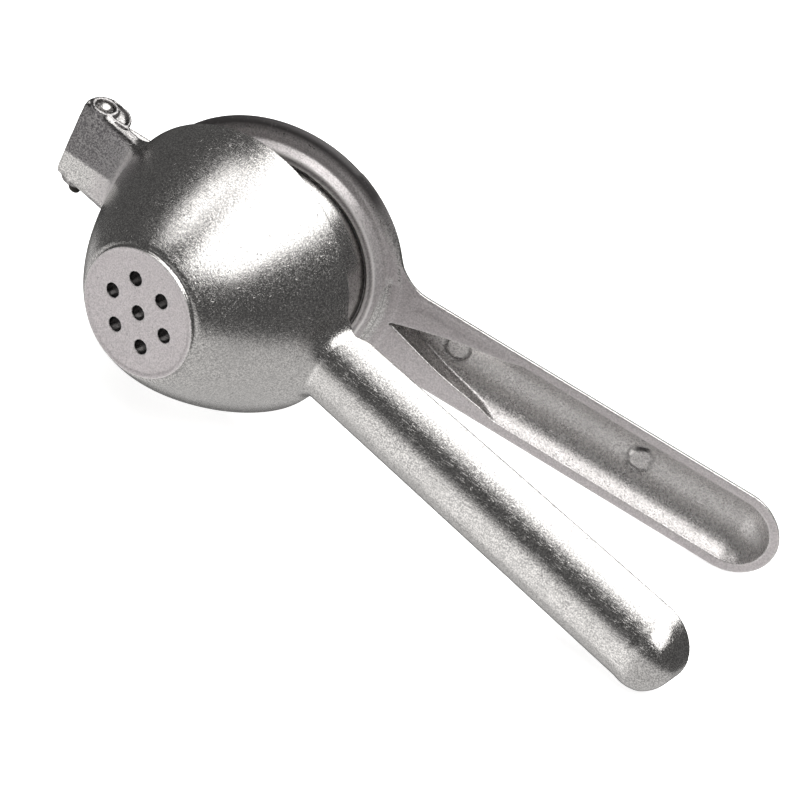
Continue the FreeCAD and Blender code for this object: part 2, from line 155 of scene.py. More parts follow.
def bowl_field(U, W, N):
    r = np.hypot(U, W)
    out = cup_outside(r, N)
    cup = edge(out, N - 37.45, 1.0)
    disc = edge(r - 17.35, N - 38.3, 0.35)
    cup = smin(cup, disc, 0.35)
    sink = np.maximum(r - 16.3, 38.02 - N)
    cup = smax(cup, -sink, 0.3)
    # handle: half round bar, vertical sides near its open face, round tip
    um = np.maximum(U - 145.0, 0.0)
    level = np.clip(0.5 + (U - 40.0) * 0.0242, 0.2, 3.1)
    blunt = 2.9 * np.clip(um / 7.0, 0.0, 1.0)
    bar = edge(np.hypot(W, um) - 11.3, N - level - 11.3, 11.3 - blunt)
    bar = np.maximum(bar, 18.0 - U)
    cupf = edge(cup, 1.7 - N, 0.45)
    # the handle's open face is raised where the presser's ring passes under it
    barf = edge(bar, 0.3 + 1.5 * np.clip((43.0 - U) / 3.0, 0.0, 1.0) - N, 0.5)
    d = fillet(cupf, barf, 3.2)
    # the cup's hollow
    hollow = edge(out + 3.0, N - 33.9, 5.0)
    d = edge(d, -np.maximum(hollow, 0.0 - N - 3.0), 0.7)
    # channel under the handle, rising to the open face near the cup
    nn = np.maximum(N - level, 0.0)
    ch = np.sqrt(W * W + nn * nn + um * um) - 8.8
    ramp = (N - 0.3 - (U - 43.5) * 0.58) * 0.865
    ch = edge(ch, ramp, 2.0)
    d = edge(d, -ch, 0.6)
    # lug
    m = U < -22.0
    if m.any():
        u, w, n_, dm = U[m], W[m], N[m], d[m]
        lug = lug_field(u, w, n_)
        lug = np.maximum(lug, -(out[m] + 3.0))
        dm2 = fillet(dm, lug, 2.8)
        dm2 = edge(dm2, -np.maximum(hollow[m], -N[m] - 3.0), 0.7)
        slot = np.maximum(np.maximum(np.abs(w) - 8.0, n_ - 2.3), u + 37.6)
        dm2 = np.maximum(dm2, -slot)
        gap = np.maximum(np.maximum(np.hypot(u - HINGE_U, n_ - HINGE_N) - 3.15, n_ - 3.75), np.abs(w) - 8.0)
        dm2 = np.maximum(dm2, -gap)
        d[m] = dm2
    # drain holes
    m = (r < 14.0) & (N > 25.0)
    if m.any():
        u, w, dm = U[m], W[m], d[m]
        h = np.full(u.shape, 1e9, u.dtype)
        for a, b in DRAIN:
            h = np.minimum(h, np.hypot(u - a, w - b) - 1.9)
        d[m] = edge(dm, -h, 0.3)
    return d


# ---------------------------------------------------------------- presser
def presser_profile():
    pts = []
    pts.append((-1.0, 27.0))
    dome = (28.6 ** 2 + 22.8 ** 2) / (2 * 22.8)
    pts += arc_points((0.0, 27.0), (28.6, 4.2), dome, 1, 40)
    pts += [(28.6, 4.2), (28.75, 3.5), (29.3, 3.5), (29.6, 4.35), (31.4, 4.2), (31.9, 3.75), (32.25, 3.0), (32.8, 2.1), (33.2, 1.75)]
    pts += arc_points((33.2, 1.75), (36.6, 1.15), 8.0, 1, 12)
    pts += arc_points((36.6, 1.15), (37.75, -0.45), 1.9, 1, 8)
    pts += [(37.75, -0.45), (37.1, -1.5), (36.2, -2.8), (33.6, -3.0), (29.4, 1.0)]
    pts.append((26.4, 2.6))
    inner = (26.4 ** 2 + 21.4 ** 2) / (2 * 21.4)
    q = arc_points((26.4, 2.6), (0.0, 24.0), inner, -1, 30)
    pts += q[1:] + [(-1.0, 24.0)]
    return pts


def profile_table(pts, r1=44.0, n0=-12.0, n1=32.0, step=0.1):
    r = np.arange(-0.5, r1, step)
    n = np.arange(n0, n1, step)
    R, N = np.meshgrid(r, n, indexing="ij")
    return polygon(R, N, pts).astype(F), -0.5, n0, step


def lookup(table, r, n):
    t, r0, n0, step = table
    x = np.clip((r - r0) / step, 0, t.shape[0] - 1.001)
    y = np.clip((n - n0) / step, 0, t.shape[1] - 1.001)
    i = x.astype(np.int32)
    j = y.astype(np.int32)
    fx, fy = x - i, y - j
    return (t[i, j] * (1 - fx) + t[i + 1, j] * fx) * (1 - fy) + (t[i, j + 1] * (1 - fx) + t[i + 1, j + 1] * fx) * fy


PROFILE = profile_table(presser_profile())
RUN_U = [20.0, 38.75, 45.0, 51.0, 56.0, 61.0, 66.0, 70.0, 73.0, 75.0, 78.0]
RUN_V = [-9.0, 0.0, 2.2, 4.15, 5.6, 6.7, 7.6, 8.4, 9.5, 10.1, 10.6]


def presser_field(U, W, N):
    r = np.hypot(U - OFFSET, W)
    ring = lookup(PROFILE, r, N)
    # flat plate: flange plan with a filleted neck, round ended handle rim
    um = np.maximum(U - 141.5, 0.0)
    stad = np.hypot(W, um) - 12.8
    stad = np.maximum(stad, 20.0 - U)
    plan = fillet(r - 38.0, stad, 7.0)
    plan = np.where(U > 15.0, plan, 1.0e2)
    plate = edge((plan + 0.66 * np.maximum(0.1 - N, 0.0)) * 0.9, np.abs(N + 1.05) - 1.35, 0.4)
    plate = np.maximum(plate, -(r - 33.4))
    # trough behind the rim
    trough = np.sqrt(W * W + (N - 4.05) ** 2 + um * um) - 12.75
    trough = np.maximum(trough, N + 0.9)
    slope = ((-2.2 - N) - (U - 29.0) * 0.62) * 0.86
    trough = edge(trough, slope, 2.5)
    d = fillet(plate, trough, 1.2)
    # tongue and eye
    m = U < -26.0
    ton = np.full(U.shape, 1e3, U.dtype)
    if m.any():
        u, w, n = U[m], W[m], N[m]
        eye = np.hypot(u - HINGE_U, n - HINGE_N) - 2.9
        bar = polygon(u, n, [(-50.0, 0.3), (-52.0, -2.2), (-46.0, -3.6), (-30.0, -3.6), (-30.0, 0.3)])
        t = fillet(eye, bar, 1.0)
        t = edge(t, np.abs(w) - 7.7, 0.4)
        t = np.maximum(t, -(np.hypot(u - HINGE_U, n - HINGE_N) - 1.8))
        ton[m] = np.maximum(t, -(r[m] - 31.0))
    d = smin(d, ring, 0.9)
    d = fillet(d, ton, 1.2)
    # channel
    rnd = np.sqrt(W * W + (N - 5.1) ** 2 + um * um) - 11.2
    v = np.interp(U, RUN_U, RUN_V).astype(U.dtype)
    wall = (np.abs(W) - v) * 0.96
    rim = np.hypot(W, um) - 10.1
    ch = edge(edge(rnd, wall, 0.35), rim, 0.3)
    d = edge(d, -ch, 0.4)
    # round marks left in the channel's floor
    for uc, rr in ((57.0, 3.3), (112.0, 3.4)):
        rm = np.hypot(U - uc, W)
        mark = np.maximum(np.abs(rm - rr) - 0.3, np.abs(rnd) - 0.4)
        d = smax(d, -mark, 0.2)
    # room for the cup casting when the squeezer is shut
    m = np.abs(d) < 1.2
    if m.any():
        u, n = U[m] - HINGE_U, N[m] - HINGE_N
        cup = bowl_field(HINGE_U + u * SHUT_C + n * SHUT_S, W[m], HINGE_N - u * SHUT_S + n * SHUT_C)
        d[m] = smax(d[m], 0.24 - cup, 0.5)
    return d


# ---------------------------------------------------------------- surface from a field
def surface(field, xs, ys, zs, polish=3):
    """Closed quad mesh of field = 0 on a rectilinear grid: one point per crossed cell, then pulled onto the surface."""
    nx, ny, nz = len(xs), len(ys), len(zs)
    val = np.empty((nx, ny, nz), F)
    Y, Z = np.meshgrid(ys, zs, indexing="ij")
    step = 24
    for i in range(0, nx, step):
        k = min(step, nx - i)
        X = np.broadcast_to(xs[i:i + k, None, None], (k, ny, nz)).astype(F).ravel()
        YY = np.broadcast_to(Y[None], (k, ny, nz)).astype(F).ravel()
        ZZ = np.broadcast_to(Z[None], (k, ny, nz)).astype(F).ravel()
        val[i:i + k] = field(X, YY, ZZ).reshape(k, ny, nz)
    ins = val < 0
    cnt = np.zeros((nx - 1, ny - 1, nz - 1), np.int8)
    for a in (0, 1):
        for b in (0, 1):
            for c in (0, 1):
                cnt += ins[a:nx - 1 + a, b:ny - 1 + b, c:nz - 1 + c]
    mixed = (cnt > 0) & (cnt < 8)
    I, J, K = np.nonzero(mixed)
    ids = np.full(mixed.shape, -1, np.int32)
    ids[I, J, K] = np.arange(len(I))
    corner = {}
    for a in (0, 1):
        for b in (0, 1):
            for c in (0, 1):
                corner[a, b, c] = val[I + a, J + b, K + c]
    pos = np.zeros((len(I), 3))
    num = np.zeros(len(I))
    for ax in range(3):
        for b in (0, 1):
            for c in (0, 1):
                lo = [0, 0, 0]
                o = [q for q in range(3) if q != ax]
                lo[o[0]], lo[o[1]] = b, c
                hi = list(lo)
                hi[ax] = 1
                v0, v1 = corner[tuple(lo)], corner[tuple(hi)]
                cr = (v0 < 0) != (v1 < 0)
                t = np.where(cr, v0 / np.where(cr, v0 - v1, 1.0), 0.0)
                p = np.empty((len(I), 3))
                for q in range(3):
                    p[:, q] = t if q == ax else lo[q]
                pos += p * cr[:, None]
                num += cr
    pos /= num[:, None]
    P = np.empty_like(pos)
    for q, (g, ix) in enumerate(((xs, I), (ys, J), (zs, K))):
        P[:, q] = g[ix] + pos[:, q] * (g[ix + 1] - g[ix])
    faces = []
    for ax in range(3):
        n = [nx, ny, nz]
        sl0 = [slice(1, m - 1) for m in n]
        sl1 = list(sl0)
        sl0[ax] = slice(0, n[ax] - 1)
        sl1[ax] = slice(1, n[ax])
        a, b = ins[tuple(sl0)], ins[tuple(sl1)]
        ch = a != b
        i, j, k = np.nonzero(ch)
        into = a[i, j, k]
        g = [i, j, k]
        for q in range(3):
            if q != ax:
                g[q] = g[q] + 1
        o = [q for q in range(3) if q != ax]
        quad = []
        for du, dv in ((0, 0), (1, 0), (1, 1), (0, 1)):
            h = [x.copy() for x in g]
            h[o[0]] = h[o[0]] - 1 + du
            h[o[1]] = h[o[1]] - 1 + dv
            quad.append(ids[h[0], h[1], h[2]])
        quad = np.stack(quad, 1)
        flip = into if ax == 1 else ~into
        quad[flip] = quad[flip][:, ::-1]
        faces.append(quad)
    quads = np.vstack(faces)
    # pull onto the exact surface
    lim = 0.45
    for _ in range(polish):
        x, y, z = P[:, 0], P[:, 1], P[:, 2]
        e = 0.03
        f0 = field(x, y, z)
        gx = (field(x + e, y, z) - field(x - e, y, z)) / (2 * e)
        gy = (field(x, y + e, z) - field(x, y - e, z)) / (2 * e)
        gz = (field(x, y, z + e) - field(x, y, z - e)) / (2 * e)
        g2 = np.maximum(gx * gx + gy * gy + gz * gz, 0.15)
        s = np.clip(f0 / g2, -lim, lim)
        P = P - np.stack([gx * s, gy * s, gz * s], 1) * 0.95
    return P, quads


def grid(*spans):
    out = [np.array([spans[0][0]])]
    for a, b, h in spans:
        n = max(1, int(round((b - a) / h)))
        out.append(np.linspace(a, b, n + 1)[1:])
    return np.concatenate(out)


# ---------------------------------------------------------------- from the tool frame to the row frame
PITCH, ROLL = math.radians(10.945), math.radians(-0.33)
SHIFT = np.array([-47.232, -11.665, 38.691])
RX = np.array([[1, 0, 0], [0, math.cos(ROLL), -math.sin(ROLL)], [0, math.sin(ROLL), math.cos(ROLL)]])
RY = np.array([[math.cos(PITCH), 0, math.sin(PITCH)], [0, 1, 0], [-math.sin(PITCH), 0, math.cos(PITCH)]])
TURN = RY @ RX


def to_row(p):
    lay = np.stack([p[:, 0], -p[:, 2], p[:, 1]], 1)
    return (lay @ TURN.T + SHIFT) / 1000.0


def direction(u, w, n):
    v = TURN @ np.array([u, -n, w], float)
    return v / np.linalg.norm(v)


def opened(p):
    u, n = p[:, 0] - HINGE_U, p[:, 2] - HINGE_N
    c, s = math.cos(OPEN), math.sin(OPEN)
    return np.stack([HINGE_U + u * c + n * s, p[:, 1], HINGE_N - u * s + n * c], 1)


def bend(points, quads):
    """How sharply each point stands out from its neighbours, in 1/mm: edges positive, hollows negative."""
    n = len(points)
    e = np.vstack([quads[:, [0, 1]], quads[:, [1, 2]], quads[:, [2, 3]], quads[:, [3, 0]]])
    tot = np.zeros((n, 3))
    cnt = np.zeros(n)
    for a, b in ((0, 1), (1, 0)):
        for q in range(3):
            tot[:, q] += np.bincount(e[:, a], points[e[:, b], q], n)
        cnt += np.bincount(e[:, a], minlength=n)
    lap = tot / np.maximum(cnt, 1)[:, None] - points
    d1 = points[quads[:, 2]] - points[quads[:, 0]]
    d2 = points[quads[:, 3]] - points[quads[:, 1]]
    fn = np.cross(d1, d2)
    nor = np.zeros((n, 3))
    for c in range(4):
        for q in range(3):
            nor[:, q] += np.bincount(quads[:, c], fn[:, q], n)
    nor /= np.maximum(np.linalg.norm(nor, axis=1), 1e-9)[:, None]
    k = -(lap * nor).sum(1)
    for _ in range(2):
        s = np.zeros(n)
        for a, b in ((0, 1), (1, 0)):
            s += np.bincount(e[:, a], k[e[:, b]], n)
        k = 0.5 * k + 0.5 * s / np.maximum(cnt, 1)
    return k, nor


def make(name, points_tool, quads, body, node, material, attrs):
    mesh = bpy.data.meshes.new(name)
    pts = to_row(points_tool)
    mesh.vertices.add(len(pts))
    mesh.vertices.foreach_set("co", pts.astype(np.float32).ravel())
    mesh.loops.add(quads.size)
    mesh.loops.foreach_set("vertex_index", quads.astype(np.int32).ravel())
    mesh.polygons.add(len(quads))
    mesh.polygons.foreach_set("loop_start", np.arange(0, quads.size, quads.shape[1], dtype=np.int32))
    mesh.polygons.foreach_set("use_smooth", np.ones(len(quads), bool))
    mesh.update(calc_edges=True)
    mesh.validate()
    for key, values in attrs.items():
        a = mesh.attributes.new(key, "FLOAT", "POINT")
        a.data.foreach_set("value", np.asarray(values, np.float32))
    ob = bpy.data.objects.new(name, mesh)
    bpy.context.scene.collection.objects.link(ob)
    mesh.materials.append(material)
    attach(ob, body)
    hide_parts(node)
    return ob


# ---------------------------------------------------------------- materials
class Nodes:
    def __init__(self, tree):
        self.t = tree
        tree.nodes.clear()

    def add(self, kind, **kw):
        n = self.t.nodes.new(kind)
        for k, v in kw.items():
            setattr(n, k, v)
        return n

    def link(self, a, b):
        self.t.links.new(a, b)

    def math(self, op, a, b=None, clamp=False):
        n = self.add("ShaderNodeMath", operation=op, use_clamp=clamp)
        for i, x in enumerate((a, b)):
            if x is None:
                continue
            if isinstance(x, (int, float)):
                n.inputs[i].default_value = x
            else:
                self.link(x, n.inputs[i])
        return n.outputs[0]

    def ramp(self, x, lo, hi, a=0.0, b=1.0, smooth=True):
        n = self.add("ShaderNodeMapRange", interpolation_type="SMOOTHSTEP" if smooth else "LINEAR")
        n.inputs["From Min"].default_value = lo
        n.inputs["From Max"].default_value = hi
        n.inputs["To Min"].default_value = a
        n.inputs["To Max"].default_value = b
        self.link(x, n.inputs["Value"])
        return n.outputs["Result"]

    def noise(self, vec, scale, detail=2.0, rough=0.5):
        n = self.add("ShaderNodeTexNoise", noise_dimensions="3D")
        n.inputs["Scale"].default_value = scale
        n.inputs["Detail"].default_value = detail
        n.inputs["Roughness"].default_value = rough
        self.link(vec, n.inputs["Vector"])
        return n.outputs["Fac"]

    def mix(self, f, a, b):
        n = self.add("ShaderNodeMix", data_type="RGBA")
        if isinstance(f, (int, float)):
            n.inputs[0].default_value = f
        else:
            self.link(f, n.inputs[0])
        for i, x in ((6, a), (7, b)):
            if isinstance(x, tuple):
                n.inputs[i].default_value = (*x, 1.0)
            else:
                self.link(x, n.inputs[i])
        return n.outputs[2]

    def attr(self, name):
        return self.add("ShaderNodeAttribute", attribute_name=name).outputs["Fac"]


def cast_aluminium(name, seed=0.0):
    mat = bpy.data.materials.new(name)
    mat.use_nodes = True
    N = Nodes(mat.node_tree)
    out = N.add("ShaderNodeOutputMaterial")
    bs = N.add("ShaderNodeBsdfPrincipled")
    bs.inputs["Metallic"].default_value = 1.0
    N.link(bs.outputs[0], out.inputs[0])
    co = N.add("ShaderNodeTexCoord").outputs["Object"]
    mp = N.add("ShaderNodeMapping")
    mp.inputs["Location"].default_value = (seed, seed * 0.7, 0.3 * seed)
    N.link(co, mp.inputs["Vector"])
    v = mp.outputs[0]
    matte = N.attr("matte")
    wear_and_highlight = N.attr("wear_and_highlight")
    painted_shade = N.attr("painted_shade")
    painted_dark_reflection = N.attr("painted_dark_reflection")
    # grain of the cast skin, pits, soft stains
    grain = N.noise(v, 5200.0, 2.0, 0.6)
    speck = N.noise(v, 2300.0, 3.0, 0.65)
    cloud = N.noise(v, 55.0, 3.0, 0.55)
    blot = N.noise(v, 420.0, 4.0, 0.6)
    pit = N.ramp(N.noise(v, 1300.0, 2.0, 0.5), 0.67, 0.73)
    # colour
    base = N.mix(N.ramp(speck, 0.38, 0.63), (0.440, 0.433, 0.428), (0.880, 0.862, 0.842))
    base = N.mix(N.math("MULTIPLY", N.ramp(cloud, 0.42, 0.66), 0.35), base, (0.58, 0.57, 0.56))
    sand = N.mix(N.ramp(speck, 0.34, 0.66), (0.385, 0.358, 0.364), (0.575, 0.538, 0.544))
    base = N.mix(matte, base, sand)
    # lighter colour on rubbed edges, and painted highlight lines on the presser
    base = N.mix(N.math("MULTIPLY", wear_and_highlight, 0.75), base, (0.93, 0.91, 0.89))
    # painted shade: near black where painted_shade is set, in hollows, holes and grooves, as a painted dark reflection
    # on the flange's outer roll, and on a dash in the second mark
    base = N.mix(N.math("MULTIPLY", painted_shade, 0.72), base, (0.045, 0.042, 0.042))
    base = N.mix(N.math("MULTIPLY", pit, 0.55), base, (0.20, 0.19, 0.19))
    # painted dark reflection: darker colour where painted_dark_reflection is set
    base = N.mix(painted_dark_reflection, base, N.mix(N.ramp(speck, 0.4, 0.62), (0.10, 0.095, 0.10), (0.30, 0.29, 0.29)))
    N.link(base, bs.inputs["Base Color"])
    # roughness
    r = N.math("ADD", N.ramp(blot, 0.3, 0.7, 0.15, 0.225), N.ramp(speck, 0.3, 0.7, -0.02, 0.05))
    r = N.math("ADD", r, N.math("MULTIPLY", matte, 0.22))
    N.link(r, bs.inputs["Roughness"])
    N.link(N.math("SUBTRACT", 1.0, N.math("MULTIPLY", matte, 0.65)), bs.inputs["Metallic"])
    # fine brush marks and knocks
    mq = N.add("ShaderNodeMapping")
    mq.inputs["Rotation"].default_value = (0.3, 0.5, 0.9)
    mq.inputs["Scale"].default_value = (260.0, 3600.0, 3600.0)
    N.link(v, mq.inputs["Vector"])
    brush = N.noise(mq.outputs[0], 1.0, 3.0, 0.6)
    knock = N.ramp(N.noise(v, 610.0, 1.0, 0.4), 0.70, 0.745)
    # relief: grain and pits
    h = N.math("ADD", N.math("MULTIPLY", grain, 0.35), N.math("MULTIPLY", speck, 0.65))
    h = N.math("ADD", h, N.math("MULTIPLY", blot, 0.8))
    h = N.math("SUBTRACT", h, N.math("MULTIPLY", pit, 0.5))
    h = N.math("ADD", h, N.math("MULTIPLY", N.ramp(brush, 0.56, 0.72), 0.45))
    h = N.math("SUBTRACT", h, N.math("MULTIPLY", knock, 0.9))
    b = N.add("ShaderNodeBump")
    b.inputs["Strength"].default_value = 0.55
    b.inputs["Distance"].default_value = 0.00008
    N.link(h, b.inputs["Height"])
    N.link(b.outputs[0], bs.inputs["Normal"])
    return mat


def pin_steel(name):
    mat = bpy.data.materials.new(name)
    mat.use_nodes = True
    N = Nodes(mat.node_tree)
    out = N.add("ShaderNodeOutputMaterial")
    bs = N.add("ShaderNodeBsdfPrincipled")
    bs.inputs["Metallic"].default_value = 1.0
    N.link(bs.outputs[0], out.inputs[0])
    v = N.add("ShaderNodeTexCoord").outputs["Object"]
    s = N.noise(v, 900.0, 3.0, 0.6)
    steel = N.mix(N.ramp(s, 0.35, 0.7), (0.55, 0.54, 0.53), (0.93, 0.92, 0.90))
    # painted dark reflection at the pin's lower end
    N.link(N.mix(N.attr("painted_pin_reflection"), steel, (0.05, 0.048, 0.045)), bs.inputs["Base Color"])
    N.link(N.ramp(s, 0.3, 0.7, 0.24, 0.42), bs.inputs["Roughness"])
    b = N.add("ShaderNodeBump")
    b.inputs["Strength"].default_value = 0.3
    b.inputs["Distance"].default_value = 0.00008
    N.link(s, b.inputs["Height"])
    N.link(b.outputs[0], bs.inputs["Normal"])
    return mat


def band(x, lo, hi, soft):
    return np.clip((x - lo) / soft + 0.5, 0, 1) * np.clip((hi - x) / soft + 0.5, 0, 1)


q = 1.0

# cup arm
us = grid((-58.4, 22.0, 0.45 * q), (22.0, 48.0, 0.5 * q), (48.0, 138.0, 1.3 * q), (138.0, 157.4, 0.5 * q))
ws = grid((-39.6, -13.5, 0.5 * q), (-13.5, 13.5, 0.42 * q), (13.5, 39.6, 0.5 * q))
ns = grid((-4.2, 6.2, 0.4 * q), (6.2, 34.0, 0.55 * q), (34.0, 39.2, 0.3 * q))
pc, qc = surface(bowl_field, us, ws, ns)
kc, nc = bend(pc, qc)
U, W, N_ = pc[:, 0], pc[:, 1], pc[:, 2]
rc = np.hypot(U, W)
disc_face = band(rc, -9, 17.2, 0.4) * np.clip((N_ - 37.6) / 0.3, 0, 1) * np.clip(nc[:, 2] * 3 - 1.5, 0, 1)
rim_face = np.clip(-nc[:, 2] * 4 - 2.6, 0, 1)
inner = ((rc < cup_radius(N_)[0] - 2.0) & (N_ > 1.8) & (N_ < 35.4)).astype(float)
matte_c = np.clip(disc_face + rim_face * (N_ < 2.5) + inner * 0.6, 0, 1)
worn_c = np.clip((kc - 0.02) / 0.07, 0, 1)
# painted shade in hollows, darker where the surface bends inwards
painted_shade_c = np.clip((-kc - 0.02) / 0.06, 0, 1)
holes = np.min([np.hypot(U - a, W - b) for a, b in DRAIN], axis=0)
# painted shade inside the drain holes
painted_shade_c = np.maximum(painted_shade_c, ((holes < 2.05) & (N_ > 33) & (N_ < 37.9)) * 1.3)
# painted dark reflection on the lug: the back past the ridge, the ears' lower faces and rings round the pin, and the
# corner by the neck
ridge = W - (-2.6 + (U + 46.0) * 0.14)
painted_dark_reflection_c = 0.95 * np.clip(ridge / 0.8 + 0.5, 0, 1) * np.clip((nc[:, 2] - 0.8) * 8, 0, 1) * np.clip((-36.0 - U) / 5.0, 0, 1)
rh = np.hypot(U - HINGE_U, N_ - HINGE_N)
ears = np.clip((np.abs(W) - 11.2) / 0.4, 0, 1) * np.clip((-34.0 - U) / 4.0, 0, 1) * np.maximum(np.clip((3.0 - N_) / 0.4, 0, 1), (rh < 4.1) & (rh > 2.0))
painted_dark_reflection_c = np.maximum(painted_dark_reflection_c, 0.7 * ears)
# painted shade on the lug's end face
painted_shade_c = np.maximum(painted_shade_c, 1.1 * np.clip((-55.9 - U) / 0.5, 0, 1))
corner_c = np.clip((np.abs(W) - 10.4) / 0.5, 0, 1) * np.clip((N_ - 2.6) / 0.4, 0, 1) * np.clip((U + 47.0) / 3.0, 0, 1) * np.clip((-35.0 - U) / 3.0, 0, 1)
painted_dark_reflection_c = np.maximum(painted_dark_reflection_c, 0.6 * corner_c)
neck_c = np.clip((U + 47.0) / 4.0, 0, 1) * np.clip((-33.5 - U) / 3.5, 0, 1) * np.clip((11.0 - np.abs(W)) / 1.5, 0, 1) * (N_ > 1.0) * (rc > 36.0)
matte_c = np.maximum(matte_c, 0.55 * neck_c)
alu_a = cast_aluminium("cast_aluminium_cup", 0.0)
cup = make("cup_casting", pc, qc, "cup", "bowl_arm", alu_a, {"matte": matte_c, "wear_and_highlight": worn_c, "painted_shade": painted_shade_c, "painted_dark_reflection": painted_dark_reflection_c})

# presser arm
us = grid((-56.0, 44.0, 0.45 * q), (44.0, 80.0, 0.5 * q), (80.0, 136.0, 1.2 * q), (136.0, 154.4, 0.45 * q))
ws = grid((-39.8, -13.5, 0.5 * q), (-13.5, 13.5, 0.42 * q), (13.5, 39.8, 0.5 * q))
ns = grid((-9.4, -2.0, 0.5 * q), (-2.0, 5.6, 0.3 * q), (5.6, 28.0, 0.6 * q))
pp, qp = surface(presser_field, us, ws, ns)
kp, np_ = bend(pp, qp)
U, W, N_ = pp[:, 0], pp[:, 1], pp[:, 2]
rp = np.hypot(U - OFFSET, W)
marks = np.max([band(np.hypot(U - a, W), b - 0.4, b + 0.4, 0.2) for a, b in ((57.0, 3.3), (112.0, 3.4))], axis=0) * (N_ < -1.0) * (np_[:, 2] > 0.2)
flat = np.clip(np_[:, 2] * 6 - 4.6, 0, 1) * (N_ > -0.4) * (N_ < 1.6) * np.clip((rp - 34.5) / 1.5, 0, 1) * np.clip((U - 26.0) / 8.0, 0, 1)
chan = ((U > 44) & (N_ < 0.1) & (np_[:, 2] > 0.2)).astype(float)
under = ((N_ < -1.0) & (np_[:, 2] < 0.3)).astype(float)
ledge = band(rp, 29.2, 35.6, 0.6) * (N_ > 0.6) * (U < 34.0)
matte_p = np.clip(flat * 0.9 + chan * 0.35 + ledge * 0.7 + 0.2 * under, 0, 1)
wear_and_highlight_p = np.clip((kp - 0.02) / 0.07, 0, 1)
# painted shade in hollows, darker where the surface bends inwards
painted_shade_p = np.clip((-kp - 0.02) / 0.06, 0, 1)
calm = 1.0 - 0.9 * ((rp > 35.2) & (U > 12.0) & (U < 42.0))
wear_and_highlight_p, painted_shade_p = wear_and_highlight_p * calm, painted_shade_p * calm
# painted shade in the groove round the foot of the dome
groove_shade = band(rp, 28.6, 29.5, 0.25) * (N_ > 3.0) * (N_ < 4.1)
painted_shade_p = np.maximum(painted_shade_p, groove_shade)
# painted dark reflection on the flange's outer roll, which is also made matte
painted_reflection_roll_p = np.clip((rp - 34.8) / 1.8, 0, 1) * np.clip((N_ + 3.0) / 0.8, 0, 1) * np.clip((33.0 - U) / 12.0, 0, 1) * (U > -34.0) * (rp < 39.5)
painted_shade_p = np.maximum(painted_shade_p, 1.36 * painted_reflection_roll_p)
matte_p = np.maximum(matte_p, painted_reflection_roll_p)
# painted shade: a dark ring between the two painted highlight lines
painted_shade_p = np.maximum(painted_shade_p, 0.55 * band(rp, 30.35, 30.95, 0.3) * (N_ > 3.0))
# painted highlight: two light matte rings on the ledge round the dome
painted_highlight_lines = np.maximum(band(rp, 29.6, 30.2, 0.3), 0.85 * band(rp, 31.1, 31.75, 0.3)) * (N_ > 3.4)
wear_and_highlight_p = np.maximum(wear_and_highlight_p, painted_highlight_lines)
matte_p = np.maximum(matte_p, painted_highlight_lines)
# painted shade in the round marks in the channel's floor
painted_shade_p = np.maximum(painted_shade_p, 0.7 * marks)
# a dark dash painted across the second mark
t_ = np.clip(((U - 110.4) * 2.2 + (W - 2.2) * 1.9) / 8.45, 0, 1)
dash = np.hypot(U - 110.4 - 2.2 * t_, W - 2.2 - 1.9 * t_)
painted_shade_p = np.maximum(painted_shade_p, 1.3 * np.clip((0.95 - dash) / 0.4, 0, 1) * (N_ < -1.0) * (np_[:, 2] > 0.2))
alu_b = cast_aluminium("cast_aluminium_presser", 0.37)
presser = make("presser_casting", opened(pp), qp, "presser", "presser_arm", alu_b, {"matte": matte_p, "wear_and_highlight": wear_and_highlight_p, "painted_shade": painted_shade_p, "painted_dark_reflection": np.zeros(len(pp))})

# hinge pin: round wire, domed top, cut lower end
rings = [(-15.6, 0.0), (-15.6, 0.9), (-15.45, 1.35), (-15.1, 1.62), (-14.6, 1.7), (-13.6, 1.7), (-12.4, 1.7), (12.25, 1.7), (12.6, 1.6), (12.8, 1.3), (12.88, 0.8), (12.9, 0.0)]
seg = 40
pv, pq = [], []
for w, r in rings[1:-1]:
    for i in range(seg):
        a = 2 * math.pi * i / seg
        pv.append((HINGE_U + r * math.cos(a) + 0.45 * max(0.0, -12.6 - w), w, HINGE_N + r * math.sin(a)))
m = len(rings) - 2
for k in range(m - 1):
    for i in range(seg):
        j = (i + 1) % seg
        pq.append((k * seg + i, (k + 1) * seg + i, (k + 1) * seg + j, k * seg + j))
mesh = bpy.data.meshes.new("pin")
lo_i, hi_i = len(pv), len(pv) + 1
pv.append((HINGE_U + 1.35, rings[0][0], HINGE_N))
pv.append((HINGE_U, rings[-1][0], HINGE_N))
tris = [(lo_i, i, (i + 1) % seg) for i in range(seg)] + [(hi_i, (m - 1) * seg + (i + 1) % seg, (m - 1) * seg + i) for i in range(seg)]
mesh.from_pydata([tuple(p) for p in to_row(np.array(pv))], [], pq + tris)
mesh.validate()
mesh.update()
for p in mesh.polygons:
    p.use_smooth = True
pin = bpy.data.objects.new("pin", mesh)
bpy.context.scene.collection.objects.link(pin)
# painted dark reflection: the lower end of the pin is coloured near black
painted_pin_reflection = mesh.attributes.new("painted_pin_reflection", "FLOAT", "POINT")
painted_pin_reflection.data.foreach_set("value", [1.0 if p[1] < -12.0 else 0.0 for p in pv])
mesh.materials.append(pin_steel("pin_steel"))
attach(pin, "cup")
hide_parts("hinge_pin")

